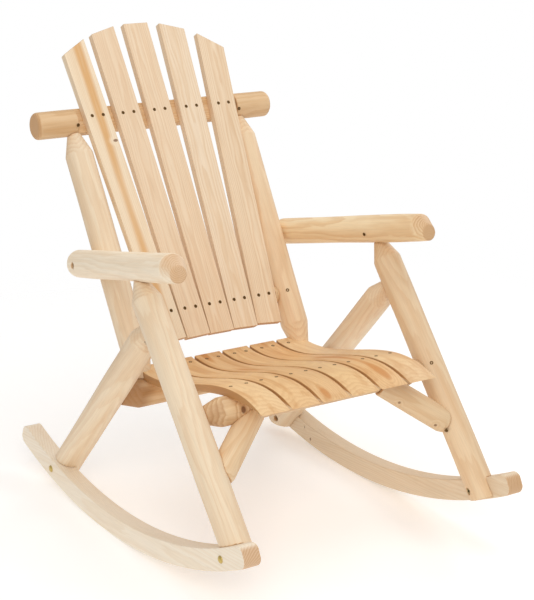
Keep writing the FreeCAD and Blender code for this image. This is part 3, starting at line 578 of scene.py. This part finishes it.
seat_tones = (("#F2CE9C", "#D7A268"), ("#EEC691", "#D39A5C"), ("#EAC18D", "#D0985A"),
              ("#EEC893", "#D39B60"), ("#EBC18B", "#CD8F50"), ("#EFCD9E", "#D7A672"))
heartwood = {3: ((4, -12), 9), 5: ((15, 3), 12)}    # two boards show it: pith, then radius
for number, (early, late) in enumerate(seat_tones, 1):
    pith, heart_radius = heartwood.get(number, ((-48 - 5 * number, -16 + 9 * (number % 3)), 0))
    # The brown given to the sawn sides is painted shade for the gaps between the boards.
    wood = fir("seat_slat_%d" % number, 60 + number, early, late, pith, ring_mm=5.5,
               ring_strength=0.24, stripe_strength=0.75, heart="#D08E4C", heart_radius=heart_radius,
               end_share=0.35, painted_side_shade="#B5814C")
    scooped("seat_slat_%d" % number, wood)

# ------------------------------------------------------------------ screws and bolts
# Bronze coated wood screws with a cross recess, driven flush, and carriage bolts plated yellow
# through rocker and leg, whose nuts are sunk in the legs.


def metal(name, colour, roughness, worn):
    """Coated steel: its colour and shine vary a little where tools and hands have rubbed it."""
    coat = bpy.data.materials.new(name)
    coat.use_nodes = True
    tree = coat.node_tree
    shader = tree.nodes["Principled BSDF"]
    place = add(tree, "ShaderNodeTexCoord").outputs["Object"]
    rub = add(tree, "ShaderNodeTexNoise", {"Vector": place, "Scale": 900.0, "Detail": 3.0}).outputs["Fac"]
    tone = add(tree, "ShaderNodeMix", {"Factor": rub, 6: linear(colour), 7: linear(worn)},
               data_type="RGBA").outputs[2]
    tree.links.new(tone, shader.inputs["Base Color"])
    shine = add(tree, "ShaderNodeMapRange", {"Value": rub, "To Min": roughness - 0.08,
                "To Max": roughness + 0.1}).outputs[0]
    tree.links.new(shine, shader.inputs["Roughness"])
    shader.inputs["Metallic"].default_value = 1.0
    return coat


def fasteners(node):
    """Head centre and outward axis of every separate fastener in a CAD node."""
    shape = bmesh.new()
    shape.from_mesh(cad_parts[node].data)
    bmesh.ops.remove_doubles(shape, verts=shape.verts, dist=1e-6)
    left = set(shape.verts)
    found = []
    while left:
        island, edge_of = set(), [left.pop()]
        while edge_of:
            vertex = edge_of.pop()
            island.add(vertex)
            for edge in vertex.link_edges:
                other = edge.other_vert(vertex)
                if other in left:
                    left.discard(other)
                    edge_of.append(other)
        spots = np.array([vertex.co for vertex in island])
        faces = {face for vertex in island for face in vertex.link_faces}
        spread = sum(face.calc_area() * np.outer(face.normal, face.normal) for face in faces)
        axis = np.linalg.eigh(spread)[1][:, 0]
        middle = (spots.max(0) + spots.min(0)) / 2
        along = (spots - middle) @ axis
        off = np.linalg.norm(spots - middle - np.outer(along, axis), axis=1)
        if along[off.argmax()] < 0:
            axis, along = -axis, -along
        centred = spots[along > along.max() - 1e-4].mean(0)
        found.append((Vector(centred), Vector(axis)))
    shape.free()
    return found


def squared(centre, logs):
    """The direction square to the side of the log that a head is pulled flush with."""
    outs = []
    for name in logs:
        own = own_frame(name)
        grain = own.to_3x3().col[2]
        off = centre - own.to_translation()
        outs.append(off - grain * off.dot(grain))
    return min(outs, key=lambda out: abs(out.length - LOG_RADIUS)).normalized()


TOE_LIFT = 0.0004       # a toe screw's head stands this far off its log
CROSS_ARM = 0.0006      # half the width of the recess's arms
CROSS_REACH = 0.0026
SPOKES = 40


def turned(node, profile, steel, recess=0.0, logs=()):
    """Fasteners turned from (radius, height) steps above each head's face, as one object."""
    shape = bmesh.new()
    for centre, axis in fasteners(node):
        if logs:
            axis = squared(centre, logs)
            centre = centre + axis * TOE_LIFT
        spin = axis.to_track_quat("Z", "Y").to_matrix()
        rings = []
        for radius, height in profile:
            ring = []
            for step in range(SPOKES):
                angle = 2 * math.pi * step / SPOKES
                x, y = radius * math.cos(angle), radius * math.sin(angle)
                arm = min(abs(x), abs(y))
                in_cross = recess and arm < CROSS_ARM and radius < CROSS_REACH and height >= 0
                drop = recess if in_cross else 0.0
                ring.append(shape.verts.new(centre + spin @ Vector((x, y, height - drop))))
            rings.append(ring)
        for lower, upper in zip(rings, rings[1:]):
            for i in range(SPOKES):
                j = (i + 1) % SPOKES
                shape.faces.new((lower[i], lower[j], upper[j], upper[i]))
        shape.faces.new(list(reversed(rings[0])))
        shape.faces.new(rings[-1])
    bmesh.ops.recalc_face_normals(shape, faces=shape.faces)
    mesh = bpy.data.meshes.new(node + "_turned")
    shape.to_mesh(mesh)
    shape.free()
    mesh.shade_smooth()
    settle(mesh, node, steel)


# Bronze lacquer reads as a near-black dot with a warm glint and yellow zinc as a small brass button.
# A darker copy of the zinc is painted shade for the nuts deep in their holes, and serves the arm bolts too.
bronze = metal("bronze_coated_steel", "#4A3520", 0.42, "#8A6B42")
zinc = metal("yellow_zinc_plate", "#B79A55", 0.3, "#D9C27C")
zinc_painted_shade = metal("zinc_plate_painted_shade", "#8C7C58", 0.4, "#B5A276")

# A countersunk head: shank, cone, a thin bright rim and a dished face with the cross recess.
CROSS_DEEP = 0.0012
screw_profile = ((0.0018, -0.030), (0.0018, -0.0030), (0.0038, -0.0005), (0.0040, 0.0001),
                 (0.0037, 0.0004), (0.0031, 0.0004), (0.0026, 0.0004), (0.0024, 0.0004),
                 (0.0018, 0.0004), (0.0012, 0.0003), (0.0007, 0.0002), (0.0003, 0.0002))
for node in ("seat_slat_screws", "back_slat_screws"):
    turned(node, screw_profile, bronze, recess=CROSS_DEEP)
toe_screws = (("leg_screws", ("front_leg_left", "front_leg_right", "rear_leg_left", "rear_leg_right")),
              ("arm_screws", ("arm_left", "arm_right")),
              ("brace_screws", ("knee_brace_left", "knee_brace_right")),
              ("top_rail_screws", ("top_rail",)),
              ("post_screws", ("back_post_left", "back_post_right")))
for node, logs in toe_screws:
    turned(node, screw_profile, bronze, recess=CROSS_DEEP, logs=logs)

# A carriage bolt's domed head, whose face in the CAD is its crown.
DOME_RADIUS, DOME_HIGH = 0.0080, 0.0040
dome = [(DOME_RADIUS * math.cos(math.radians(a)), DOME_HIGH * (math.sin(math.radians(a)) - 1))
        for a in (0, 12, 24, 36, 48, 60, 72, 82)]
turned("rocker_bolts", [(0.0029, -0.052), (0.0029, -0.0045), (0.0078, -0.0044)] + dome, zinc)

# Nuts, arm bolts and the hidden dowels keep their CAD shape; nuts and bolts get the painted-shade zinc.
dowel_fir = fir("post_dowels", 80, "#E8CFA8", "#CFA878", (20, 0))
for node, stuff in (("rocker_nuts", zinc_painted_shade), ("arm_bolts", zinc_painted_shade), ("post_dowels", dowel_fir)):
    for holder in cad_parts[node].material_slots:
        holder.material = stuff
